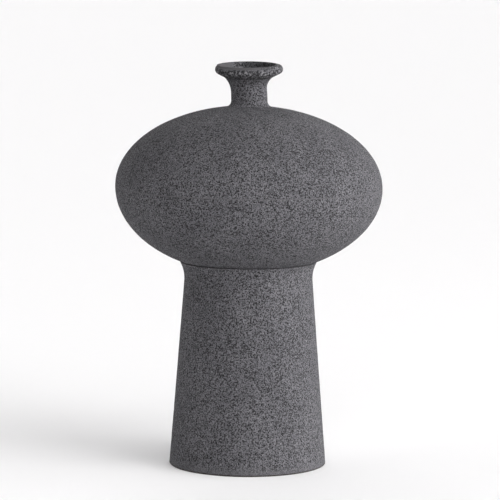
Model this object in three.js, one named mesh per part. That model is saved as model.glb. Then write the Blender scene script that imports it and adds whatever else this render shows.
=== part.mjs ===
// A stoneware pottery vase in millimetres, +Z up. It stands on z = 0 with its axis on the origin and
// its front towards -Y. It is made the way a potter makes a tall form: thrown sections that lap into
// each other, a layer of slip in every joint, and a luting coil pressed over the joints inside.
import * as THREE from "three";

// The layer of slip between two pieces that meet.
const SLIP_GAP = 0.3;

// Facets round every turned piece, and how far a faceted arc may stray from the true curve.
const FACETS = 48;
const CURVE_ERROR = 0.35;
const LARGEST_ARC_STEP_DEG = 15;

// Pedestal: a cone that narrows upwards, then flares out to the seat that the body rests on.
const FOOT_RADIUS = 78.6;
const FOOT_EDGE_ROUND = 1.2;
const PEDESTAL_TOP_RADIUS = 62.6;
const PEDESTAL_WALL = 7;
const SEAT_OVERHANG = 6.3;
const SEAT_FLARE_RADIUS = 36;

// Floor slab: a disc let into the standing ring from below, up against a ledge, clear of the ground.
const STANDING_RING_WIDTH = 9;
const SLAB_THICKNESS = 8;
const SLAB_LIFT = 3;
const LEDGE_WIDTH = 5;
const LEDGE_HEIGHT = 7;

// Body: a flattened globe, a little deeper below its widest line than above it.
const BODY_RADIUS = 133.3;
const BODY_CENTRE_HEIGHT = 278.7;
const BODY_RISE = 81.3;
const BODY_DROP = 85.7;
const BODY_WALL = 6.5;
const BELLY_LAP = 8;
const BODY_SPIGOT_DEPTH = 14;
const BODY_SPIGOT_WALL = 6;

// Neck: a short tube on a collar of the shoulder, which opens as a trumpet.
const NECK_RADIUS = 18.1;
const NECK_WALL = 4.5;
const NECK_ROOT_FILLET = 6.2;
const COLLAR_HEIGHT = 2.6;
const NECK_SPIGOT_DEPTH = 8;
const NECK_TUBE_LENGTH = 8;
const TRUMPET_RADIUS = 16.6;
const TRUMPET_TURN_DEG = 50;

// Rim: a rolled bead round a steep mouth, on a skirt that sits inside the end of the trumpet.
const LIP_OVERHANG = 9.8;
const LIP_HEIGHT = 12.5;
const LIP_WIDTH = 6;
const BEAD_RADIUS = 4.6;
const MOUTH_DEPTH = 4.5;
const MOUTH_TAPER = 1;
const RIM_SEAT_WIDTH = 4.4;
const RIM_SKIRT_DEPTH = 2.6;

// The neck was set on a little out of true: it bends forwards, and slightly to the left, as it leaves
// the shoulder. The heading is measured anticlockwise from +X.
const NECK_LEAN_DEG = 3.4;
const NECK_LEAN_HEADING_DEG = 253;
const LEAN_BEND_LENGTH = 14;

// Luting coils: soft clay pressed into the inner corners, and a band over the belly joint.
const FLOOR_COIL_RADIUS = 5;
const SEAT_COIL_RADIUS = 5;
const BELLY_BAND_THICKNESS = 3;
const BELLY_BAND_REACH = 6;

const { degToRad, radToDeg, lerp } = THREE.MathUtils;

// A point of an outline: its distance from the axis, and its height.
const at = (radius, height) => new THREE.Vector2(radius, height);

// Points along an elliptical arc between two angles in degrees, close enough to the true curve.
function arc(centre, across, up, fromDeg, toDeg) {
  const finest = radToDeg(2 * Math.acos(1 - Math.min(CURVE_ERROR / across, 1)));
  const stepDeg = Math.min(finest, LARGEST_ARC_STEP_DEG);
  const steps = Math.max(1, Math.ceil(Math.abs(toDeg - fromDeg) / stepDeg));
  const points = [];
  for (let i = 0; i <= steps; i += 1) {
    const angle = degToRad(lerp(fromDeg, toDeg, i / steps));
    points.push(at(centre.x + across * Math.cos(angle), centre.y + up * Math.sin(angle)));
  }
  return points;
}

const roundArc = (centre, radius, fromDeg, toDeg) => arc(centre, radius, radius, fromDeg, toDeg);

// Turns a closed outline, listed anticlockwise, round the vertical axis.
function turned(name, outline, material) {
  const geometry = new THREE.LatheGeometry([...outline, outline[0]], FACETS);
  geometry.rotateX(Math.PI / 2);
  const mesh = new THREE.Mesh(geometry, material);
  mesh.name = name;
  return mesh;
}

const stoneware = () => new THREE.MeshStandardMaterial({ color: 0x6a696d, roughness: 0.95, metalness: 0 });
const innerClay = () => new THREE.MeshStandardMaterial({ color: 0x77747a, roughness: 0.9, metalness: 0 });

// The globe: its outer and inner skins are half ellipses that meet at the widest line.
const bodyCentre = at(0, BODY_CENTRE_HEIGHT);
const innerRadius = BODY_RADIUS - BODY_WALL;
const innerRise = BODY_RISE - BODY_WALL;
const innerDrop = BODY_DROP - BODY_WALL;
const lapRadius = BODY_RADIUS - BODY_WALL / 2;
const lapTop = BELLY_LAP + SLIP_GAP;

// Where such a skin reaches a given radius, or a given height above the widest line, in degrees.
const above = (radius, across) => radToDeg(Math.acos(radius / across));
const below = (radius, across) => -above(radius, across);
const climbed = (height, up) => radToDeg(Math.asin(height / up));

// The part of the upper half's inner skin that the luting band lies on.
const bandTopDeg = climbed(lapTop + BELLY_BAND_REACH, innerRise);
const bandSeat = arc(bodyCentre, innerRadius, innerRise, climbed(lapTop, innerRise), bandTopDeg);

// The seat under the globe, from its spigot out to the crease.
const seatRadius = PEDESTAL_TOP_RADIUS + SEAT_OVERHANG;
const seatBore = PEDESTAL_TOP_RADIUS - PEDESTAL_WALL;
const spigotRadius = seatBore - SLIP_GAP;
const underside = (radius) => BODY_CENTRE_HEIGHT - BODY_DROP * Math.sqrt(1 - (radius / BODY_RADIUS) ** 2);
const creaseHeight = underside(seatRadius);
const spigotBottom = underside(spigotRadius) - BODY_SPIGOT_DEPTH;
const seatDeg = below(seatRadius, BODY_RADIUS);
const seat = arc(bodyCentre, BODY_RADIUS, BODY_DROP, below(seatBore, BODY_RADIUS), seatDeg);

// The pedestal's cone, the slab's rebate in its foot, and the ledge above the slab.
const coneRadius = (height) => lerp(FOOT_RADIUS, PEDESTAL_TOP_RADIUS, height / creaseHeight);
const taper = Math.atan((FOOT_RADIUS - PEDESTAL_TOP_RADIUS) / creaseHeight);
const rebateRadius = FOOT_RADIUS - STANDING_RING_WIDTH;
const ledgeRadius = rebateRadius - LEDGE_WIDTH;
const slabTop = SLAB_LIFT + SLAB_THICKNESS;
const ledgeBottom = slabTop + SLIP_GAP;
const ledgeTop = ledgeBottom + LEDGE_HEIGHT;

function makePedestal() {
  // The flare is an arc that leaves the cone smoothly and ends at the crease.
  const creaseEdge = at(seatRadius, creaseHeight - SLIP_GAP);
  const overhang = (creaseEdge.x - coneRadius(creaseEdge.y)) * Math.cos(taper);
  const flareTurn = Math.acos(1 - overhang / SEAT_FLARE_RADIUS);
  const flareCentre = at(
    creaseEdge.x + SEAT_FLARE_RADIUS * Math.cos(flareTurn - taper),
    creaseEdge.y - SEAT_FLARE_RADIUS * Math.sin(flareTurn - taper),
  );
  const coneDeg = 180 + radToDeg(taper);
  const footCentre = at(FOOT_RADIUS - FOOT_EDGE_ROUND, FOOT_EDGE_ROUND);
  const slopeTop = ledgeTop + LEDGE_WIDTH;
  return turned("pedestal", [
    at(rebateRadius, 0),
    ...roundArc(footCentre, FOOT_EDGE_ROUND, -90, 0),
    ...roundArc(flareCentre, SEAT_FLARE_RADIUS, coneDeg, coneDeg - radToDeg(flareTurn)),
    ...seat.slice(0, -1).reverse().map((p) => at(p.x, p.y - SLIP_GAP)),
    at(seatBore, spigotBottom - SLIP_GAP),
    at(coneRadius(slopeTop) - PEDESTAL_WALL, slopeTop),
    at(ledgeRadius, ledgeTop),
    at(ledgeRadius, ledgeBottom),
    at(rebateRadius, ledgeBottom),
  ], stoneware());
}

function makeFloorSlab() {
  const slabRadius = rebateRadius - SLIP_GAP;
  return turned("floor_slab", [
    at(0, SLAB_LIFT),
    at(slabRadius, SLAB_LIFT),
    at(slabRadius, slabTop),
    at(0, slabTop),
  ], innerClay());
}

function makeFloorCoil() {
  // A quarter round in the corner of the slab and the ledge.
  const corner = at(ledgeRadius - SLIP_GAP, slabTop + SLIP_GAP);
  return turned("floor_coil", [corner, ...roundArc(corner, FLOOR_COIL_RADIUS, 90, 180)], innerClay());
}

function makeSeatCoil() {
  // A quarter round under the end of the globe's spigot, against the pedestal's wall.
  const corner = at(seatBore - SLIP_GAP, spigotBottom - SLIP_GAP);
  return turned("seat_coil", [corner, ...roundArc(corner, SEAT_COIL_RADIUS, 180, 270)], innerClay());
}

function makeLowerBowl() {
  const spigotBore = spigotRadius - BODY_SPIGOT_WALL;
  return turned("lower_bowl", [
    at(spigotBore, spigotBottom),
    at(spigotRadius, spigotBottom),
    at(spigotRadius, underside(spigotRadius)),
    ...seat,
    ...arc(bodyCentre, BODY_RADIUS, BODY_DROP, seatDeg, 0).slice(1),
    at(lapRadius, BODY_CENTRE_HEIGHT),
    at(lapRadius, BODY_CENTRE_HEIGHT + BELLY_LAP),
    at(innerRadius, BODY_CENTRE_HEIGHT + BELLY_LAP),
    ...arc(bodyCentre, innerRadius, innerDrop, 0, below(spigotBore, innerRadius)),
  ], stoneware());
}

function makeBellyBand() {
  // A rounded band over the top of the belly lap, half above it and half below.
  const [joint, ...higher] = bandSeat.map((p) => at(p.x - SLIP_GAP, p.y));
  const lowest = at(joint.x, joint.y - BELLY_BAND_REACH);
  const front = arc(joint, BELLY_BAND_THICKNESS, BELLY_BAND_REACH, 120, 240);
  return turned("belly_band", [lowest, joint, ...higher, ...front], innerClay());
}

// The root fillet touches the shoulder and the neck: its place on the shoulder is found by halving.
function rootFilletAt(deg) {
  const skin = at(BODY_RADIUS * Math.cos(degToRad(deg)), BODY_RISE * Math.sin(degToRad(deg)));
  const normal = at(skin.x / BODY_RADIUS ** 2, skin.y / BODY_RISE ** 2).normalize();
  const centre = skin.clone().add(bodyCentre).addScaledVector(normal, NECK_ROOT_FILLET);
  return { deg, centre, touchesHeight: skin.y + bodyCentre.y, touchesDeg: 180 + radToDeg(normal.angle()) };
}

function findRootFillet() {
  const halvings = 40;
  let low = 0;
  let high = 90;
  for (let i = 0; i < halvings; i += 1) {
    const middle = (low + high) / 2;
    if (rootFilletAt(middle).centre.x > NECK_RADIUS + NECK_ROOT_FILLET) low = middle;
    else high = middle;
  }
  return rootFilletAt(high);
}

// The collar, the neck's bore and socket (each takes half of the wall), and the trumpet's two skins.
const root = findRootFillet();
const collarTop = root.centre.y + COLLAR_HEIGHT;
const neckBottom = collarTop + SLIP_GAP;
const neckBore = NECK_RADIUS - NECK_WALL;
const neckSpigotRadius = neckBore + (NECK_WALL - SLIP_GAP) / 2;
const socketRadius = neckSpigotRadius + SLIP_GAP;
const trumpetInside = TRUMPET_RADIUS + NECK_WALL;
const trumpetCentre = at(NECK_RADIUS + TRUMPET_RADIUS, neckBottom + NECK_TUBE_LENGTH);
const trumpetEndDeg = 180 - TRUMPET_TURN_DEG;
const trumpetEnd = roundArc(trumpetCentre, TRUMPET_RADIUS, trumpetEndDeg, trumpetEndDeg)[0];
const trumpetDeg = (height) => 180 - climbed(height - trumpetCentre.y, trumpetInside);

// The rim's skirt and the seat cut for it in the end of the trumpet.
const rimSeatRadius = trumpetEnd.x - RIM_SEAT_WIDTH;
const rimSeatBottom = trumpetEnd.y - RIM_SKIRT_DEPTH;

// Bends what stands above the shoulder along the neck's leaning centre line.
function leaned(mesh) {
  const lean = degToRad(NECK_LEAN_DEG);
  const heading = degToRad(NECK_LEAN_HEADING_DEG);
  const forward = new THREE.Vector3(Math.cos(heading), Math.sin(heading), 0);
  const bendRadius = LEAN_BEND_LENGTH / lean;
  const position = mesh.geometry.getAttribute("position");
  const point = new THREE.Vector3();
  for (let i = 0; i < position.count; i += 1) {
    point.fromBufferAttribute(position, i);
    const climb = Math.max(point.z - root.touchesHeight, 0);
    const bend = lean * Math.min(climb / LEAN_BEND_LENGTH, 1);
    const straight = Math.max(climb - LEAN_BEND_LENGTH, 0);
    const reach = point.dot(forward);
    const along = bendRadius * (1 - Math.cos(bend)) + straight * Math.sin(bend) + reach * Math.cos(bend);
    point.addScaledVector(forward, along - reach);
    point.z += bendRadius * Math.sin(bend) + straight * Math.cos(bend) - climb - reach * Math.sin(bend);
    position.setXYZ(i, point.x, point.y, point.z);
  }
  mesh.geometry.computeVertexNormals();
  return mesh;
}

function makeUpperBowl() {
  const socketBottom = collarTop - NECK_SPIGOT_DEPTH;
  return leaned(turned("upper_bowl", [
    at(lapRadius + SLIP_GAP, BODY_CENTRE_HEIGHT + SLIP_GAP),
    ...arc(bodyCentre, BODY_RADIUS, BODY_RISE, climbed(SLIP_GAP, BODY_RISE), root.deg),
    ...roundArc(root.centre, NECK_ROOT_FILLET, root.touchesDeg, 180).slice(1),
    at(NECK_RADIUS, collarTop),
    at(socketRadius, collarTop),
    at(socketRadius, socketBottom),
    at(neckBore, socketBottom),
    ...arc(bodyCentre, innerRadius, innerRise, above(neckBore, innerRadius), bandTopDeg),
    ...bandSeat.slice(0, -1).reverse(),
    at(lapRadius + SLIP_GAP, BODY_CENTRE_HEIGHT + lapTop),
  ], stoneware()));
}

function makeNeck() {
  const spigotEnd = neckBottom - NECK_SPIGOT_DEPTH;
  return leaned(turned("neck", [
    at(neckBore, spigotEnd),
    at(neckSpigotRadius, spigotEnd),
    at(neckSpigotRadius, neckBottom),
    at(NECK_RADIUS, neckBottom),
    ...roundArc(trumpetCentre, TRUMPET_RADIUS, 180, trumpetEndDeg),
    at(rimSeatRadius, trumpetEnd.y),
    at(rimSeatRadius, rimSeatBottom),
    ...roundArc(trumpetCentre, trumpetInside, trumpetDeg(rimSeatBottom), 180),
  ], stoneware()));
}

function makeRim() {
  // The underside runs on at the trumpet's own slope until it touches the bead.
  const slope = degToRad(90 - TRUMPET_TURN_DEG);
  const underLip = at(trumpetEnd.x + SLIP_GAP / Math.tan(slope), trumpetEnd.y + SLIP_GAP);
  const rimRadius = trumpetEnd.x + LIP_OVERHANG;
  const beadCentre = at(rimRadius - BEAD_RADIUS, trumpetEnd.y + LIP_HEIGHT - BEAD_RADIUS);
  const toBead = beadCentre.clone().sub(underLip);
  const touchDeg = radToDeg(toBead.angle() - Math.asin(BEAD_RADIUS / toBead.length())) - 90;
  const mouthDeg = above(BEAD_RADIUS - LIP_WIDTH, BEAD_RADIUS);
  const bead = roundArc(beadCentre, BEAD_RADIUS, touchDeg, mouthDeg);
  const mouthEdge = bead.at(-1);
  const skirtRadius = rimSeatRadius - SLIP_GAP;
  const skirtBottom = rimSeatBottom + SLIP_GAP;
  return leaned(turned("rim", [
    at(skirtRadius, skirtBottom),
    at(skirtRadius, underLip.y),
    underLip,
    ...bead,
    at(mouthEdge.x - MOUTH_TAPER, mouthEdge.y - MOUTH_DEPTH),
    ...roundArc(trumpetCentre, trumpetInside, trumpetEndDeg, trumpetDeg(skirtBottom)),
  ], stoneware()));
}

const vase = new THREE.Group();
vase.name = "stoneware_vase";
vase.add(
  makePedestal(),
  makeFloorSlab(),
  makeFloorCoil(),
  makeSeatCoil(),
  makeLowerBowl(),
  makeBellyBand(),
  makeUpperBowl(),
  makeNeck(),
  makeRim(),
);

export default vase;
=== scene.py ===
"""Looks of the stoneware vase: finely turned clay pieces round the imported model, and a plain pale studio."""

import math

import bpy
import numpy as np
from mathutils import Matrix, Vector, noise


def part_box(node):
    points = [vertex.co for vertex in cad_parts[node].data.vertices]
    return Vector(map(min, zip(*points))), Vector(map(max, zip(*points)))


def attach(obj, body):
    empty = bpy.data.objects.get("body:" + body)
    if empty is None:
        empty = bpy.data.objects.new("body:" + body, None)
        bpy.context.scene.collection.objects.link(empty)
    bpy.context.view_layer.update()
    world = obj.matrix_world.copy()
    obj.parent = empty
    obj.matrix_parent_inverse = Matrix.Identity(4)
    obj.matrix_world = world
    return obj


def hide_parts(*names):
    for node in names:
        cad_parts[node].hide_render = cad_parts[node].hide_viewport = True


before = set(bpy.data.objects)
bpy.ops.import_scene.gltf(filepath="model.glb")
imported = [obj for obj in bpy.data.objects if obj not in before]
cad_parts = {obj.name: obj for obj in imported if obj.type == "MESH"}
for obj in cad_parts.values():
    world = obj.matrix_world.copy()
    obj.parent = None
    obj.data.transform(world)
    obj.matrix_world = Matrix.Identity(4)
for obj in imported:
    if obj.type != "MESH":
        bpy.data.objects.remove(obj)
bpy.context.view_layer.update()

MM = 0.001

# ---------------------------------------------------------------- sizes
# The slip between two pieces. Where two outer skins meet flush, it was smoothed over.
SLIP_GAP = 0.3 * MM
SMOOTHED_GAP = 0.02 * MM

# Pedestal.
FOOT_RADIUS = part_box("pedestal")[1].x
FOOT_EDGE_ROUND = 1.2 * MM
PEDESTAL_TOP_RADIUS = 62.6 * MM
PEDESTAL_WALL = 7 * MM
SEAT_OVERHANG = 6.3 * MM
SEAT_FLARE_RADIUS = 36 * MM
STANDING_RING_WIDTH = 9 * MM
LEDGE_WIDTH = 5 * MM
LEDGE_HEIGHT = 7 * MM

# Body.
BELLY_LAP = 8 * MM
BODY_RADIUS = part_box("lower_bowl")[1].x
BODY_CENTRE_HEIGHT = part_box("lower_bowl")[1].z - BELLY_LAP
BODY_RISE = 81.3 * MM
BODY_DROP = 85.7 * MM
BODY_WALL = 6.5 * MM
BODY_SPIGOT_DEPTH = 14 * MM
BODY_SPIGOT_WALL = 6 * MM

# Neck. Its bore runs down to a share of the height of the globe's inner dome.
NECK_RADIUS = 18.1 * MM
NECK_WALL = 4.5 * MM
NECK_ROOT_FILLET = 6.2 * MM
COLLAR_HEIGHT = 2.6 * MM
NECK_SPIGOT_DEPTH = 8 * MM
NECK_TUBE_LENGTH = 8 * MM
TRUMPET_RADIUS = 16.6 * MM
TRUMPET_TURN_DEG = 50
BORE_END_SHARE = 0.99

# Rim.
LIP_OVERHANG = 9.8 * MM
LIP_HEIGHT = 12.5 * MM
LIP_WIDTH = 6 * MM
BEAD_RADIUS = 4.6 * MM
MOUTH_DEPTH = 4.5 * MM
MOUTH_TAPER = 1 * MM
RIM_SEAT_WIDTH = 4.4 * MM
RIM_SKIRT_DEPTH = 2.6 * MM

# The neck's lean, as in the model: forwards and slightly to the left.
NECK_LEAN = math.radians(3.4)
NECK_LEAN_HEADING = math.radians(253)
LEAN_BEND_LENGTH = 14 * MM

# How finely the outlines are stepped: the outer skin, hidden walls, the seat, short joint faces, the inside
# of the trumpet, flares and tubes, the neck's curves, and tight edges. Points within SAME_SPOT count as one.
SKIN_STEP = 1.9 * MM
HIDDEN_STEP = 7 * MM
SEAT_STEP = 4 * MM
JOINT_STEP = 2 * MM
BORE_STEP = 1.2 * MM
FLARE_STEP = 1 * MM
NECK_STEP = 0.8 * MM
DETAIL_STEP = 0.45 * MM
FEWEST_ARC_STEPS = 3
SAME_SPOT = 1e-6

# How many sides each piece is turned with, and from which angle an edge looks sharp.
PEDESTAL_SIDES = 320
GLOBE_SIDES = 384
NECK_SIDES = 192
RIM_SIDES = 256
SHARP_ANGLE = math.radians(50)

# Marks of the hand: the globe's tilt, the neck's sideways bow, and a wavering, slightly lumpy skin.
BODY_TILT = math.radians(0.42)
NECK_SWAY = 0.9 * MM
SWAY_HEIGHT = 383 * MM
SWAY_REACH = 8 * MM
WOBBLE = 0.25 * MM
WOBBLE_WAVE = 120 * MM
LUMPS = 0.1 * MM
LUMP_WAVE = 11 * MM
FINE_LUMP_WAVE = 5 * MM
FINE_LUMP_SHARE = 0.6
LUMP_SEED = 1
FINE_LUMP_SEED = 2
WOBBLE_SEED = 3
SEED_SHIFT = (7.31, 3.17, 5.93)

# The pedestal's top edge is cut back, so that the joint under the globe shows as a thin dark line. The grit
# is worn a little at the foot, from the first height down to the second.
SEAT_EDGE_CUT = 0.9 * MM
FOOT_WEAR = 0.3
FOOT_WEAR_HEIGHTS = (11 * MM, 2 * MM)

# The mouth is shifted to the left. The shift grows over these distances outside the bead's centre.
MOUTH_SHIFT = 1.4 * MM
MOUTH_SHIFT_REACH = (3.2 * MM, 0.9 * MM)

# The mouth was wiped, except on the side that faces this heading. Across the top of the bead, wiping starts
# at its outer edge and is complete a little further in: both in bead radii from its centre, inwards positive.
UNWIPED_HEADING = math.radians(25)
UNWIPED_REACH = 13 * MM
WIPE_REACH = (-1.0, -0.75)
# How far in from the bead's centre the painted shade inside the mouth grows to full.
MOUTH_SHADE_DEPTH = 2 * MM

# How rough the clay is; the inside of the mouth on its unwiped side is coarse as well, and has shade painted
# on it.
MOUTH = 3.0
COARSE = 2.0
ROUGH = 1.0
SMOOTH = 0.0


# ---------------------------------------------------------------- outlines
# An outline is a list of (radius, height, grit).
def arc(centre, across, up, from_deg, to_deg, step, grit=ROUGH):
    """Points along an elliptical arc, about one step apart."""
    length = math.radians(abs(to_deg - from_deg)) * (across + up) / 2
    count = max(FEWEST_ARC_STEPS, math.ceil(length / step))
    turns = np.radians(np.linspace(from_deg, to_deg, count + 1))
    return [(centre[0] + across * math.cos(t), centre[1] + up * math.sin(t), grit) for t in turns]


def line(start, end, step, grit=ROUGH):
    """Points along a straight stretch, about one step apart."""
    count = max(1, math.ceil(math.dist(start, end) / step))
    reach = np.array(end) - np.array(start)
    return [(*(np.array(start) + reach * i / count), grit) for i in range(count + 1)]


def wall(start, end, step=HIDDEN_STEP):
    """A straight stretch with a smooth surface."""
    return line(start, end, step, SMOOTH)


def outline(*stretches):
    """Joins stretches into one closed outline, each shared point once."""
    points = []
    for stretch in stretches:
        for point in stretch:
            if not points or math.dist(points[-1][:2], point[:2]) > SAME_SPOT:
                points.append(point)
    if math.dist(points[0][:2], points[-1][:2]) < SAME_SPOT:
        points.pop()
    return points


def on_ellipse(radius, across):
    """The angle, in degrees, at which a half ellipse has the given radius."""
    return math.degrees(math.acos(radius / across))


def climbed(height, up):
    """The angle, in degrees, at which a half ellipse has climbed by the given height."""
    return math.degrees(math.asin(height / up))


# ---------------------------------------------------------------- shared places
belly = (0.0, BODY_CENTRE_HEIGHT)
inner_radius = BODY_RADIUS - BODY_WALL
inner_rise = BODY_RISE - BODY_WALL
inner_drop = BODY_DROP - BODY_WALL
lap_radius = BODY_RADIUS - BODY_WALL / 2
lap_top = BELLY_LAP + SLIP_GAP

seat_radius = PEDESTAL_TOP_RADIUS + SEAT_OVERHANG
seat_bore = PEDESTAL_TOP_RADIUS - PEDESTAL_WALL
spigot_radius = seat_bore - SLIP_GAP


def underside(radius):
    """Height of the globe's outer skin below its widest line."""
    return BODY_CENTRE_HEIGHT - BODY_DROP * math.sqrt(1 - (radius / BODY_RADIUS) ** 2)


crease_height = underside(seat_radius)
spigot_bottom = underside(spigot_radius) - BODY_SPIGOT_DEPTH
taper = math.atan((FOOT_RADIUS - PEDESTAL_TOP_RADIUS) / crease_height)
rebate_radius = FOOT_RADIUS - STANDING_RING_WIDTH
ledge_radius = rebate_radius - LEDGE_WIDTH
ledge_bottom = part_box("floor_slab")[1].z + SLIP_GAP
ledge_top = ledge_bottom + LEDGE_HEIGHT


def cone_radius(height):
    """Radius of the pedestal's outer cone."""
    return FOOT_RADIUS + (PEDESTAL_TOP_RADIUS - FOOT_RADIUS) * height / crease_height


def find_root_fillet():
    """The fillet between shoulder and neck, found by halving.

    Gives the angle on the shoulder, the fillet's centre, and the height and angle at which the two touch.
    """
    low, high = 0.0, 90.0
    halvings = 40
    for _ in range(halvings):
        deg = (low + high) / 2
        turned = math.radians(deg)
        skin = Vector((BODY_RADIUS * math.cos(turned), BODY_RISE * math.sin(turned)))
        normal = Vector((skin.x / BODY_RADIUS**2, skin.y / BODY_RISE**2)).normalized()
        centre = skin + Vector(belly) + normal * NECK_ROOT_FILLET
        if centre.x > NECK_RADIUS + NECK_ROOT_FILLET:
            low = deg
        else:
            high = deg
    return deg, centre, skin.y + BODY_CENTRE_HEIGHT, 180 + math.degrees(math.atan2(normal.y, normal.x))


root_deg, root_centre, lean_start, root_touch_deg = find_root_fillet()
collar_top = root_centre.y + COLLAR_HEIGHT
neck_bottom = collar_top + SLIP_GAP
neck_bore = NECK_RADIUS - NECK_WALL
neck_spigot = neck_bore + (NECK_WALL - SLIP_GAP) / 2
trumpet_inside = TRUMPET_RADIUS + NECK_WALL
trumpet_centre = (NECK_RADIUS + TRUMPET_RADIUS, neck_bottom + NECK_TUBE_LENGTH)
trumpet_end_deg = 180 - TRUMPET_TURN_DEG
trumpet_end = (
    trumpet_centre[0] + TRUMPET_RADIUS * math.cos(math.radians(trumpet_end_deg)),
    trumpet_centre[1] + TRUMPET_RADIUS * math.sin(math.radians(trumpet_end_deg)),
)
rim_seat_radius = trumpet_end[0] - RIM_SEAT_WIDTH
rim_seat_bottom = trumpet_end[1] - RIM_SKIRT_DEPTH
bead_centre = (trumpet_end[0] + LIP_OVERHANG - BEAD_RADIUS, trumpet_end[1] + LIP_HEIGHT - BEAD_RADIUS)


def trumpet_deg(height):
    """Where the trumpet's inner skin reaches a height, in degrees round its centre."""
    return 180 - climbed(height - trumpet_centre[1], trumpet_inside)


# ---------------------------------------------------------------- the hand
def smoothstep(low, high, value):
    """From 0 at low to 1 at high, with soft ends; low may be the larger of the two."""
    t = np.clip((value - low) / (high - low), 0, 1)
    return t * t * (3 - 2 * t)


def lean(points):
    """Bends what stands above the shoulder along the neck's leaning centre line."""
    forward = np.array([math.cos(NECK_LEAN_HEADING), math.sin(NECK_LEAN_HEADING), 0.0])
    bend_radius = LEAN_BEND_LENGTH / NECK_LEAN
    climb = np.maximum(points[:, 2] - lean_start, 0)
    bend = NECK_LEAN * np.minimum(climb / LEAN_BEND_LENGTH, 1)
    straight = np.maximum(climb - LEAN_BEND_LENGTH, 0)
    reach = points @ forward
    along = bend_radius * (1 - np.cos(bend)) + straight * np.sin(bend) + reach * np.cos(bend)
    rise = bend_radius * np.sin(bend) + straight * np.cos(bend) - climb - reach * np.sin(bend)
    moved = points + (along - reach)[:, None] * forward
    moved[:, 2] += rise
    return moved


def settle(points):
    """The globe and neck sit a touch lower on their right, and the neck bows slightly to its left."""
    x, height = points[:, 0], points[:, 2]
    moved = points.copy()
    moved[:, 2] -= x * math.tan(BODY_TILT) * smoothstep(crease_height, BODY_CENTRE_HEIGHT, height)
    moved[:, 0] -= NECK_SWAY * np.exp(-(((height - SWAY_HEIGHT) / SWAY_REACH) ** 2))
    return moved


def noise_at(points, wave, seed):
    """Smooth noise from -1 to 1 with the given wavelength, at each point."""
    shift = Vector([seed * part for part in SEED_SHIFT])
    return np.array([noise.noise(Vector(p) / wave + shift) for p in points])


# ---------------------------------------------------------------- turning
def unit(vectors):
    """The same directions, each with length 1."""
    return vectors / np.linalg.norm(vectors, axis=1)[:, None]


def profile_normals(points):
    """Outward normals of a closed anticlockwise outline."""
    spots = np.array([p[:2] for p in points])
    along = np.roll(spots, -1, axis=0) - np.roll(spots, 1, axis=0)
    return unit(np.stack([along[:, 1], -along[:, 0]], axis=1))


def swept(across, up, ring):
    """Sweeps each (across, up) pair round the ring of directions, into rows of (x, y, z)."""
    level = np.broadcast_to(up[:, None, None], (len(up), len(ring), 1))
    return np.concatenate([across[:, None, None] * ring, level], axis=2).reshape(-1, 3)


def turned_faces(rows, around):
    """Quads between neighbouring rows and columns of a closed turned surface."""
    row = np.arange(rows)[:, None] * around
    next_row = (np.arange(1, rows + 1) % rows)[:, None] * around
    column = np.arange(around)[None, :]
    next_column = (column + 1) % around
    corners = [row + column, row + next_column, next_row + next_column, next_row + column]
    return np.stack(corners, axis=2).reshape(-1, 4)


def turn(name, points, around, shape=None):
    """Turns a closed outline round the axis, then gives it the marks of the hand and its own last shaping."""
    angles = np.arange(around) * 2 * math.pi / around
    ring = np.stack([np.cos(angles), np.sin(angles)], axis=1)
    radii, heights, grit = np.array(points).T
    place = swept(radii, heights, ring)
    facing = swept(*profile_normals(points).T, ring)
    grits = np.repeat(grit, around)
    fine_lumps = FINE_LUMP_SHARE * noise_at(place, FINE_LUMP_WAVE, FINE_LUMP_SEED)
    swell = LUMPS * (noise_at(place, LUMP_WAVE, LUMP_SEED) + fine_lumps) * grits
    place = place + facing * swell[:, None]
    outward = unit(place * [1, 1, 0])
    place = place + outward * (WOBBLE * noise_at(place, WOBBLE_WAVE, WOBBLE_SEED))[:, None]
    if shape:
        place, grits = shape(place, grits)
    return make_piece(name, lean(settle(place)), turned_faces(len(points), around), grits)


def make_piece(name, places, faces, grits):
    """A mesh object with the grit stored at each point, for the material to read."""
    mesh = bpy.data.meshes.new(name)
    mesh.from_pydata(places.tolist(), [], faces.tolist())
    mesh.attributes.new("grit", "FLOAT", "POINT").data.foreach_set("value", np.asarray(grits, np.float32))
    mesh.shade_smooth()
    mesh.set_sharp_from_angle(angle=SHARP_ANGLE)
    piece = bpy.data.objects.new(name, mesh)
    bpy.context.scene.collection.objects.link(piece)
    return piece


# ---------------------------------------------------------------- pieces
def seat_flare():
    """The curve from the pedestal's cone out to the cut edge of its seat."""
    edge = (seat_radius, crease_height - SLIP_GAP)
    overhang = (edge[0] - cone_radius(edge[1])) * math.cos(taper)
    turned = math.acos(1 - overhang / SEAT_FLARE_RADIUS)
    centre = (
        edge[0] + SEAT_FLARE_RADIUS * math.cos(turned - taper),
        edge[1] - SEAT_FLARE_RADIUS * math.sin(turned - taper),
    )
    cone_deg = 180 + math.degrees(taper)
    end_deg = cone_deg - math.degrees(turned - SEAT_EDGE_CUT / SEAT_FLARE_RADIUS)
    return arc(centre, SEAT_FLARE_RADIUS, SEAT_FLARE_RADIUS, cone_deg, end_deg, FLARE_STEP)


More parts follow.
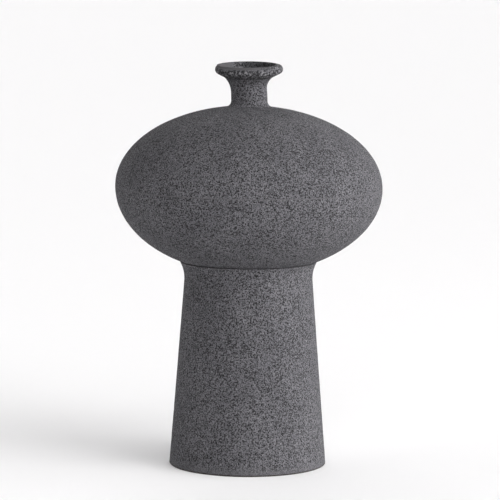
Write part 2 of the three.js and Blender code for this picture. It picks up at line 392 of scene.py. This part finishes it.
def make_pedestal():
    """The tapering drum, with its standing ring and floor ledge below and its flared seat on top."""
    flare = seat_flare()
    foot_centre = (FOOT_RADIUS - FOOT_EDGE_ROUND, FOOT_EDGE_ROUND)
    foot = arc(foot_centre, FOOT_EDGE_ROUND, FOOT_EDGE_ROUND, -90, 0, DETAIL_STEP)
    skin = foot + line(foot[-1][:2], flare[0][:2], SKIN_STEP)
    worn = [(r, z, ROUGH - FOOT_WEAR * smoothstep(*FOOT_WEAR_HEIGHTS, z)) for r, z, _ in skin]
    seat_centre = (0.0, BODY_CENTRE_HEIGHT - SLIP_GAP)
    seat_start_deg = -on_ellipse(seat_radius - SEAT_EDGE_CUT, BODY_RADIUS)
    seat_end_deg = -on_ellipse(seat_bore, BODY_RADIUS)
    socket_bottom = (seat_bore, spigot_bottom - SLIP_GAP)
    slope_top = ledge_top + LEDGE_WIDTH
    return turn(
        "clay_pedestal",
        outline(
            wall((rebate_radius, 0), foot[0][:2], JOINT_STEP),
            worn,
            flare,
            arc(seat_centre, BODY_RADIUS, BODY_DROP, seat_start_deg, seat_end_deg, SEAT_STEP, SMOOTH),
            wall((seat_bore, underside(seat_bore)), socket_bottom),
            wall(socket_bottom, (cone_radius(slope_top) - PEDESTAL_WALL, slope_top)),
            wall((ledge_radius, ledge_top), (ledge_radius, ledge_bottom)),
            wall((rebate_radius, ledge_bottom), (rebate_radius, 0), JOINT_STEP),
        ),
        PEDESTAL_SIDES,
    )


def make_lower_bowl():
    """The lower half of the globe, with the spigot that drops into the pedestal."""
    spigot_bore = spigot_radius - BODY_SPIGOT_WALL
    skin_start_deg = -on_ellipse(spigot_radius, BODY_RADIUS)
    inside_end_deg = -on_ellipse(spigot_bore, inner_radius)
    return turn(
        "clay_lower_bowl",
        outline(
            wall((spigot_bore, spigot_bottom), (spigot_radius, spigot_bottom)),
            wall((spigot_radius, spigot_bottom), (spigot_radius, underside(spigot_radius))),
            arc(belly, BODY_RADIUS, BODY_DROP, skin_start_deg, 0, SKIN_STEP),
            wall((BODY_RADIUS, belly[1]), (lap_radius, belly[1])),
            wall((lap_radius, belly[1]), (lap_radius, belly[1] + BELLY_LAP)),
            wall((inner_radius, belly[1] + BELLY_LAP), (inner_radius, belly[1])),
            arc(belly, inner_radius, inner_drop, 0, inside_end_deg, HIDDEN_STEP, SMOOTH),
        ),
        GLOBE_SIDES,
    )


def make_upper_bowl():
    """The shoulder, with its lap at the widest line and the collar that holds the neck."""
    socket = neck_spigot + SLIP_GAP
    socket_bottom = collar_top - NECK_SPIGOT_DEPTH
    skin_start = belly[1] + SMOOTHED_GAP
    skin_start_deg = climbed(SMOOTHED_GAP, BODY_RISE)
    inside_start_deg = on_ellipse(neck_bore, inner_radius)
    inside_end_deg = climbed(lap_top, inner_rise)
    lap_edge = lap_radius + SLIP_GAP
    collar_skin = collar_top + SLIP_GAP - SMOOTHED_GAP
    return turn(
        "clay_upper_bowl",
        outline(
            wall((lap_edge, skin_start), (BODY_RADIUS, skin_start)),
            arc(belly, BODY_RADIUS, BODY_RISE, skin_start_deg, root_deg, SKIN_STEP),
            arc(root_centre, NECK_ROOT_FILLET, NECK_ROOT_FILLET, root_touch_deg, 180, NECK_STEP),
            line((NECK_RADIUS, root_centre.y), (NECK_RADIUS, collar_skin), FLARE_STEP),
            wall((socket, collar_skin), (socket, socket_bottom)),
            wall((neck_bore, socket_bottom), (neck_bore, belly[1] + inner_rise * BORE_END_SHARE)),
            arc(belly, inner_radius, inner_rise, inside_start_deg, inside_end_deg, HIDDEN_STEP, SMOOTH),
            wall((lap_edge, belly[1] + lap_top), (lap_edge, skin_start)),
        ),
        GLOBE_SIDES,
    )


def make_neck():
    """The narrow trumpet, with a spigot below and the rebate that the rim sits in above."""
    spigot_end = neck_bottom - NECK_SPIGOT_DEPTH
    seat_deg = trumpet_deg(rim_seat_bottom)
    return turn(
        "clay_neck",
        outline(
            wall((neck_bore, spigot_end), (neck_spigot, spigot_end)),
            wall((neck_spigot, spigot_end), (neck_spigot, neck_bottom)),
            line((NECK_RADIUS, neck_bottom), (NECK_RADIUS, trumpet_centre[1]), FLARE_STEP),
            arc(trumpet_centre, TRUMPET_RADIUS, TRUMPET_RADIUS, 180, trumpet_end_deg, NECK_STEP),
            wall(trumpet_end, (rim_seat_radius, trumpet_end[1]), JOINT_STEP),
            wall((rim_seat_radius, trumpet_end[1]), (rim_seat_radius, rim_seat_bottom), JOINT_STEP),
            arc(trumpet_centre, trumpet_inside, trumpet_inside, seat_deg, 180, BORE_STEP, SMOOTH),
            wall((neck_bore, trumpet_centre[1]), (neck_bore, spigot_end), JOINT_STEP),
        ),
        NECK_SIDES,
    )


def bead_grit(radius, height):
    """The bead is coarse below its widest line, and wiped smooth above it but for its outer edge."""
    if height <= bead_centre[1]:
        return COARSE
    inward = (bead_centre[0] - radius) / BEAD_RADIUS
    return float(COARSE * (1 - smoothstep(*WIPE_REACH, inward)))


def make_rim():
    """The rolled lip, with the funnel inside it and the skirt that sits in the neck."""
    slope = math.radians(90 - TRUMPET_TURN_DEG)
    under_lip = (trumpet_end[0] + SLIP_GAP / math.tan(slope), trumpet_end[1] + SLIP_GAP)
    to_bead = Vector(bead_centre) - Vector(under_lip)
    touch = math.atan2(to_bead.y, to_bead.x) - math.asin(BEAD_RADIUS / to_bead.length)
    mouth_deg = math.degrees(math.acos(1 - LIP_WIDTH / BEAD_RADIUS))
    bead = arc(bead_centre, BEAD_RADIUS, BEAD_RADIUS, math.degrees(touch) - 90, mouth_deg, DETAIL_STEP)
    wiped = [(r, z, bead_grit(r, z)) for r, z, _ in bead]
    mouth_edge = bead[-1][:2]
    mouth_floor = (mouth_edge[0] - MOUTH_TAPER, mouth_edge[1] - MOUTH_DEPTH)
    skirt = (rim_seat_radius - SLIP_GAP, rim_seat_bottom + SLIP_GAP)
    funnel_degs = (trumpet_end_deg, trumpet_deg(skirt[1]))
    funnel = arc(trumpet_centre, trumpet_inside, trumpet_inside, *funnel_degs, FLARE_STEP, SMOOTH)

    def wipe_mouth(place, grits):
        """Shifts the mouth off centre, and leaves one side of it coarse, with painted shade on its inside
        there.
        """
        radius = np.hypot(place[:, 0], place[:, 1])
        shift_from, shift_to = (bead_centre[0] + reach for reach in MOUTH_SHIFT_REACH)
        inwards = smoothstep(shift_from, shift_to, radius)
        place[:, 0] -= MOUTH_SHIFT * inwards * smoothstep(funnel[0][1], mouth_floor[1], place[:, 2])
        across = place[:, 0] * math.cos(UNWIPED_HEADING) + place[:, 1] * math.sin(UNWIPED_HEADING)
        unwiped = np.maximum(1 - grits, 0) * smoothstep(-UNWIPED_REACH, UNWIPED_REACH, across)
        inside = smoothstep(bead_centre[0], bead_centre[0] - MOUTH_SHADE_DEPTH, radius)
        return place, grits + unwiped * (COARSE + (MOUTH - COARSE) * inside)

    return turn(
        "clay_rim",
        outline(
            wall(skirt, (skirt[0], under_lip[1]), JOINT_STEP),
            wall((skirt[0], under_lip[1]), under_lip, JOINT_STEP),
            line(under_lip, bead[0][:2], NECK_STEP, COARSE),
            wiped,
            wall(mouth_edge, mouth_floor, NECK_STEP),
            wall(mouth_floor, funnel[0][:2], NECK_STEP),
            funnel,
        ),
        RIM_SIDES,
        shape=wipe_mouth,
    )


# ---------------------------------------------------------------- materials
CLAY_SPECULAR = 0.25
CLOUD_LIMITS = (0.35, 0.65)


class Graph:
    """A short way to write a material's node tree."""

    def __init__(self, name):
        self.material = bpy.data.materials.new(name)
        self.material.use_nodes = True
        self.tree = self.material.node_tree
        self.tree.nodes.clear()

    def feed(self, socket, value):
        """Links an input to another node's output, or sets it to a plain value."""
        if isinstance(value, bpy.types.NodeSocket):
            self.tree.links.new(value, socket)
        else:
            socket.default_value = value

    def add(self, kind, settings=None, **inputs):
        """A new shader node, with its settings and its inputs by name."""
        node = self.tree.nodes.new("ShaderNode" + kind)
        for key, value in (settings or {}).items():
            setattr(node, key, value)
        for key, value in inputs.items():
            self.feed(node.inputs[key.replace("_", " ")], value)
        return node

    def math(self, operation, first, second, clamp=False):
        node = self.add("Math", {"operation": operation, "use_clamp": clamp})
        self.feed(node.inputs[0], first)
        self.feed(node.inputs[1], second)
        return node.outputs[0]

    def times(self, first, second):
        return self.math("MULTIPLY", first, second)

    def ramp(self, value, low, high, low_to=0.0, high_to=1.0):
        """Turns low to high into low_to to high_to, with soft ends."""
        settings = {"interpolation_type": "SMOOTHSTEP"}
        limits = {"From_Min": low, "From_Max": high, "To_Min": low_to, "To_Max": high_to}
        return self.add("MapRange", settings, Value=value, **limits).outputs[0]

    def mix(self, amount, first, second):
        """The first colour where the amount is 0, and the second where it is 1."""
        node = self.add("Mix", {"data_type": "RGBA"})
        factor, colour_a, colour_b = node.inputs[0], node.inputs[6], node.inputs[7]
        self.feed(factor, amount)
        self.feed(colour_a, first)
        self.feed(colour_b, second)
        return node.outputs[2]

    def spots(self, place, scale, channel, smallest_pick, largest, edge):
        """Round spots, one to a cell. A colour channel picks the cells and their sizes, up to the largest."""
        cells = self.add("TexVoronoi", Vector=place, Scale=scale)
        pick = self.add("SeparateColor", Color=cells.outputs["Color"]).outputs[channel]
        size = self.ramp(pick, smallest_pick, 1.0, 0.0, largest)
        return self.ramp(self.math("SUBTRACT", size, cells.outputs["Distance"]), 0.0, edge)

    def finish(self, colour, roughness, bump):
        """Joins colour and bump to the shader, and gives the material."""
        shader = self.add("BsdfPrincipled", Base_Color=colour, Roughness=roughness, Normal=bump)
        shader.inputs["Specular IOR Level"].default_value = CLAY_SPECULAR
        self.add("OutputMaterial", Surface=shader.outputs[0])
        return self.material


# Colours of the stoneware, as linear light.
GROUND = (0.119, 0.117, 0.128, 1)
GROUND_PALE = (0.14, 0.1375, 0.149, 1)
PEPPER = (0.009, 0.009, 0.0095, 1)
PALE_GRAIN = (0.3, 0.294, 0.306, 1)
WIPED = (0.074, 0.072, 0.076, 1)
# The dark colour that the foot turns towards along its bottom edge.
FOOT_DARKENING = (0.02, 0.015, 0.012, 1)

# Grains and cells to a metre.
CLOUD_SCALE = 28
GRAIN_SCALE = 880
GRAVEL_SCALE = 420
PEPPER_SCALE = 720
PALE_SCALE = 410
FINE_SCALE = 1500
GRAIN_ROUGHNESS = 0.6

# Spots: the lowest pick that has one, its largest size as a share of its cell, and its soft edge.
PEPPER_SPOTS = (0.1, 0.72, 0.22)
PALE_SPOTS = (0.6, 0.42, 0.2)

# Where the noise turns dark or pale, from none to full, and how strongly each mark shows.
DUSK_LIMITS = (0.58, 0.4)
DUSK_STRENGTH = 0.86
GRAVEL_DARK_LIMITS = (0.58, 0.42)
GRAVEL_DARK_STRENGTH = 0.9
GRAVEL_PALE_LIMITS = (0.54, 0.66)
GRAVEL_PALE_STRENGTH = 0.55
PALE_SPOT_STRENGTH = 0.3

# The inside of the mouth where shade is painted: how much less gravel it shows, and how dark the painted shade
# is.
MOUTH_CALM = 0.6
MOUTH_SHADE_STRENGTH = 0.55

# The foot turns darker along its bottom edge, between these heights; and shade is painted as a thin line under
# the globe, by distances from the crease.
FOOT_DARKENING_HEIGHTS = (2.2 * MM, 0.6 * MM)
CREASE_SHADE_REACH = (1.3 * MM, 0.4 * MM)
CREASE_SHADE_STRENGTH = 0.3

# Relief: each part's share, what wiped clay keeps of it, and its strength and depth.
FINE_RELIEF = 0.35
PEPPER_PITS = 0.25
GRAVEL_RELIEF = 1.5
WIPED_RELIEF = 0.05
GRITTY_RELIEF = 0.95
RELIEF_STRENGTH = 0.8
RELIEF_DEPTH = 0.6 * MM
STONEWARE_ROUGHNESS = 0.92


def speckled_stoneware():
    """Dry grey clay full of dark and a few pale grains; it is smooth where the potter wiped it."""
    g = Graph("speckled_stoneware")
    place = g.add("TexCoord").outputs["Object"]
    above_floor = g.add("SeparateXYZ", Vector=place).outputs["Z"]

    painted = g.add("Attribute", {"attribute_name": "grit"}).outputs["Fac"]
    grit = g.math("MINIMUM", painted, ROUGH)
    # Where shade is painted inside the mouth.
    painted_mouth_shade = g.math("SUBTRACT", painted, COARSE, clamp=True)
    coarse = g.math("SUBTRACT", painted, ROUGH, clamp=True)
    coarse = g.math("SUBTRACT", coarse, g.times(painted_mouth_shade, MOUTH_CALM))

    clouds = g.add("TexNoise", Vector=place, Scale=CLOUD_SCALE, Detail=3).outputs["Fac"]
    fine = g.add("TexNoise", Vector=place, Scale=FINE_SCALE, Detail=2).outputs["Fac"]
    rough = {"Vector": place, "Roughness": GRAIN_ROUGHNESS}
    grain = g.add("TexNoise", Scale=GRAIN_SCALE, Detail=3, **rough).outputs["Fac"]
    gravel = g.add("TexNoise", Scale=GRAVEL_SCALE, Detail=2, **rough).outputs["Fac"]
    pepper_spot = g.spots(place, PEPPER_SCALE, "Red", *PEPPER_SPOTS)
    pale_spot = g.spots(place, PALE_SCALE, "Green", *PALE_SPOTS)

    dusk = g.times(g.ramp(grain, *DUSK_LIMITS), DUSK_STRENGTH)
    coarse_dark = g.times(g.ramp(gravel, *GRAVEL_DARK_LIMITS), g.times(coarse, GRAVEL_DARK_STRENGTH))
    coarse_pale = g.times(g.ramp(gravel, *GRAVEL_PALE_LIMITS), g.times(coarse, GRAVEL_PALE_STRENGTH))
    dark = g.math("MAXIMUM", g.math("MAXIMUM", pepper_spot, dusk), coarse_dark)
    pale = g.math("MAXIMUM", g.times(pale_spot, g.times(grit, PALE_SPOT_STRENGTH)), coarse_pale)

    ground = g.mix(g.ramp(clouds, *CLOUD_LIMITS), GROUND, GROUND_PALE)
    spotted = g.mix(g.times(dark, grit), ground, PEPPER)
    spotted = g.mix(pale, spotted, PALE_GRAIN)
    colour = g.mix(grit, WIPED, spotted)
    # Painted shade inside the mouth, on its unwiped side.
    colour = g.mix(g.times(painted_mouth_shade, MOUTH_SHADE_STRENGTH), colour, PEPPER)
    # The foot turns darker along its bottom edge.
    colour = g.mix(g.ramp(above_floor, *FOOT_DARKENING_HEIGHTS), colour, FOOT_DARKENING)
    # Painted shade: a thin dark line painted round the crease where the globe meets the pedestal.
    from_crease = g.math("ABSOLUTE", g.math("SUBTRACT", above_floor, crease_height), 0.0)
    crease_shade = g.ramp(from_crease, *CREASE_SHADE_REACH, 0.0, CREASE_SHADE_STRENGTH)
    colour = g.mix(crease_shade, colour, PEPPER)

    height = g.math("ADD", grain, g.times(fine, FINE_RELIEF))
    height = g.math("SUBTRACT", height, g.times(pepper_spot, PEPPER_PITS))
    height = g.math("ADD", height, g.times(g.times(gravel, coarse), GRAVEL_RELIEF))
    height = g.times(height, g.math("ADD", g.times(grit, GRITTY_RELIEF), WIPED_RELIEF))
    bump = g.add("Bump", Strength=RELIEF_STRENGTH, Distance=RELIEF_DEPTH, Height=height).outputs[0]
    return g.finish(colour, STONEWARE_ROUGHNESS, bump)


BARE_CLAY = (0.068, 0.066, 0.069, 1)
BARE_CLAY_PALE = (0.088, 0.085, 0.088, 1)
BARE_SAND = (0.04, 0.038, 0.04, 1)
BARE_SAND_LIMITS = (0.6, 0.35)
BARE_CLOUD_SCALE = 35
BARE_SAND_SCALE = 900
BARE_RELIEF_STRENGTH = 0.35
BARE_RELIEF_DEPTH = 0.0004
BARE_ROUGHNESS = 0.9


def bare_clay():
    """Unglazed clay under the foot and inside: even, with fine dark sand in it."""
    g = Graph("bare_clay")
    place = g.add("TexCoord").outputs["Object"]
    clouds = g.add("TexNoise", Vector=place, Scale=BARE_CLOUD_SCALE, Detail=4).outputs["Fac"]
    sand = g.add("TexNoise", Vector=place, Scale=BARE_SAND_SCALE, Detail=3).outputs["Fac"]
    ground = g.mix(g.ramp(clouds, *CLOUD_LIMITS), BARE_CLAY, BARE_CLAY_PALE)
    colour = g.mix(g.ramp(sand, *BARE_SAND_LIMITS), ground, BARE_SAND)
    bump = g.add("Bump", Strength=BARE_RELIEF_STRENGTH, Distance=BARE_RELIEF_DEPTH, Height=sand).outputs[0]
    return g.finish(colour, BARE_ROUGHNESS, bump)


PAPER = (0.942, 0.942, 0.943, 1)
PAPER_PALE = (0.952, 0.952, 0.953, 1)
FIBRE_SCALE = 60
PAPER_RELIEF_STRENGTH = 0.02
PAPER_RELIEF_DEPTH = 0.0002
PAPER_ROUGHNESS = 0.9


def floor_paper():
    """Pale matt paper with a faint fibre."""
    g = Graph("pale_floor")
    place = g.add("TexCoord").outputs["Object"]
    fibre = g.add("TexNoise", Vector=place, Scale=FIBRE_SCALE, Detail=2).outputs["Fac"]
    colour = g.mix(fibre, PAPER, PAPER_PALE)
    bump = g.add("Bump", Strength=PAPER_RELIEF_STRENGTH, Distance=PAPER_RELIEF_DEPTH, Height=fibre).outputs[0]
    return g.finish(colour, PAPER_ROUGHNESS, bump)


# ---------------------------------------------------------------- dressing
def dress(piece, material, slot, *nodes):
    """Gives a piece its material, puts it on the root body, and hides the nodes that it stands for; the slot
    is not used.
    """
    piece.data.materials.append(material)
    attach(piece, "root")
    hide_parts(*nodes)


stoneware = speckled_stoneware()
clay = bare_clay()
dress(make_pedestal(), stoneware, "stoneware", "pedestal")
dress(make_lower_bowl(), stoneware, "stoneware", "lower_bowl")
dress(make_upper_bowl(), stoneware, "stoneware", "upper_bowl")
dress(make_neck(), stoneware, "stoneware", "neck")
dress(make_rim(), stoneware, "stoneware", "rim")
for node in ("floor_slab", "floor_coil", "seat_coil", "belly_band"):
    for material_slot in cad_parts[node].material_slots:
        material_slot.material = clay


# ---------------------------------------------------------------- studio
CAMERA_DISTANCE = 2.95
CAMERA_ELEVATION = math.radians(6.67)
CAMERA_TARGET = Vector((1.51 * MM, 0, 215.5 * MM))
CAMERA_ROLL = math.radians(0.34)
CAMERA_REACH = 100
SENSOR_WIDTH = 36
FRAME_PIXELS = 500
FLOOR_SIZE = 80
# The world lights the vase only faintly; the camera sees it bright, as the skyline behind the floor.
WORLD_STRENGTH = 0.02
SKYLINE_STRENGTH = 0.97
WHITE = (1, 1, 1, 1)
LIGHT_COLOUR = (1, 0.99, 0.995)
# Name, azimuth, elevation and spread in degrees, strength, and whether it throws a shadow: the right-hand
# light throws none, so that the one on the floor stays faint.
SUNS = (
    ("front_right", 55, 12, 50, 2.75, True),
    ("front", 30, 10, 100, 3.2, True),
    ("right", 105, 12, 50, 2.15, False),
    ("left", -100, 10, 100, 1.72, True),
    ("behind", 180, 45, 50, 0.8, True),
)
SOFTBOX_SIZE = 1.4
SOFTBOX_POWER = 10
SOFTBOX_PLACE = Vector((1.8, -0.1, 0.5))
SOFTBOX_AIM = Vector((0, 0, 0.2))


def make_camera():
    """Looks slightly down at the vase; one pixel of the picture is one millimetre at the target."""
    camera = bpy.data.objects.new("camera", bpy.data.cameras.new("camera"))
    bpy.context.scene.collection.objects.link(camera)
    back = Vector((0, -math.cos(CAMERA_ELEVATION), math.sin(CAMERA_ELEVATION)))
    camera.data.sensor_width = SENSOR_WIDTH
    camera.data.lens = SENSOR_WIDTH * CAMERA_DISTANCE / (FRAME_PIXELS * MM)
    camera.data.clip_end = CAMERA_REACH
    camera.location = CAMERA_TARGET + back * CAMERA_DISTANCE
    aim = back.to_track_quat("Z", "Y").to_matrix().to_4x4()
    camera.rotation_euler = (aim @ Matrix.Rotation(CAMERA_ROLL, 4, "Z")).to_euler()
    bpy.context.scene.camera = camera


def make_floor():
    """A wide flat square under the vase."""
    mesh = bpy.data.meshes.new("floor")
    half = FLOOR_SIZE / 2
    corners = [(-half, -half, 0), (half, -half, 0), (half, half, 0), (-half, half, 0)]
    mesh.from_pydata(corners, [], [(0, 1, 2, 3)])
    floor = bpy.data.objects.new("floor", mesh)
    bpy.context.scene.collection.objects.link(floor)
    mesh.materials.append(floor_paper())


def make_sun(name, azimuth_deg, elevation_deg, spread_deg, strength, shadow):
    """A broad, far light. Its azimuth turns from the front towards the right."""
    light = bpy.data.lights.new(name, "SUN")
    light.energy = strength
    light.angle = math.radians(spread_deg)
    light.color = LIGHT_COLOUR
    light.use_shadow = shadow
    lamp = bpy.data.objects.new(name, light)
    bpy.context.scene.collection.objects.link(lamp)
    azimuth = math.radians(azimuth_deg)
    elevation = math.radians(elevation_deg)
    level = math.cos(elevation)
    towards = Vector((math.sin(azimuth) * level, -math.cos(azimuth) * level, math.sin(elevation)))
    lamp.rotation_euler = towards.to_track_quat("Z", "Y").to_euler()


def make_softbox():
    """A large low panel at the right, near enough for its light to fall off towards the left."""
    light = bpy.data.lights.new("softbox", "AREA")
    light.shape = "SQUARE"
    light.size = SOFTBOX_SIZE
    light.energy = SOFTBOX_POWER
    panel = bpy.data.objects.new("softbox", light)
    bpy.context.scene.collection.objects.link(panel)
    panel.location = SOFTBOX_PLACE
    panel.rotation_euler = (SOFTBOX_PLACE - SOFTBOX_AIM).to_track_quat("Z", "Y").to_euler()
    panel.visible_camera = False


def make_world():
    """White all round: faint as a light, bright where the camera looks at it."""
    world = bpy.data.worlds.new("studio")
    world.use_nodes = True
    background = world.node_tree.nodes["Background"]
    background.inputs["Color"].default_value = WHITE
    seen = world.node_tree.nodes.new("ShaderNodeLightPath").outputs["Is Camera Ray"]
    strength = world.node_tree.nodes.new("ShaderNodeMapRange")
    strength.inputs["To Min"].default_value = WORLD_STRENGTH
    strength.inputs["To Max"].default_value = SKYLINE_STRENGTH
    world.node_tree.links.new(seen, strength.inputs["Value"])
    world.node_tree.links.new(strength.outputs[0], background.inputs["Strength"])
    bpy.context.scene.world = world


make_camera()
make_floor()
make_world()
for sun in SUNS:
    make_sun(*sun)
make_softbox()
bpy.context.scene.view_settings.view_transform = "Standard"
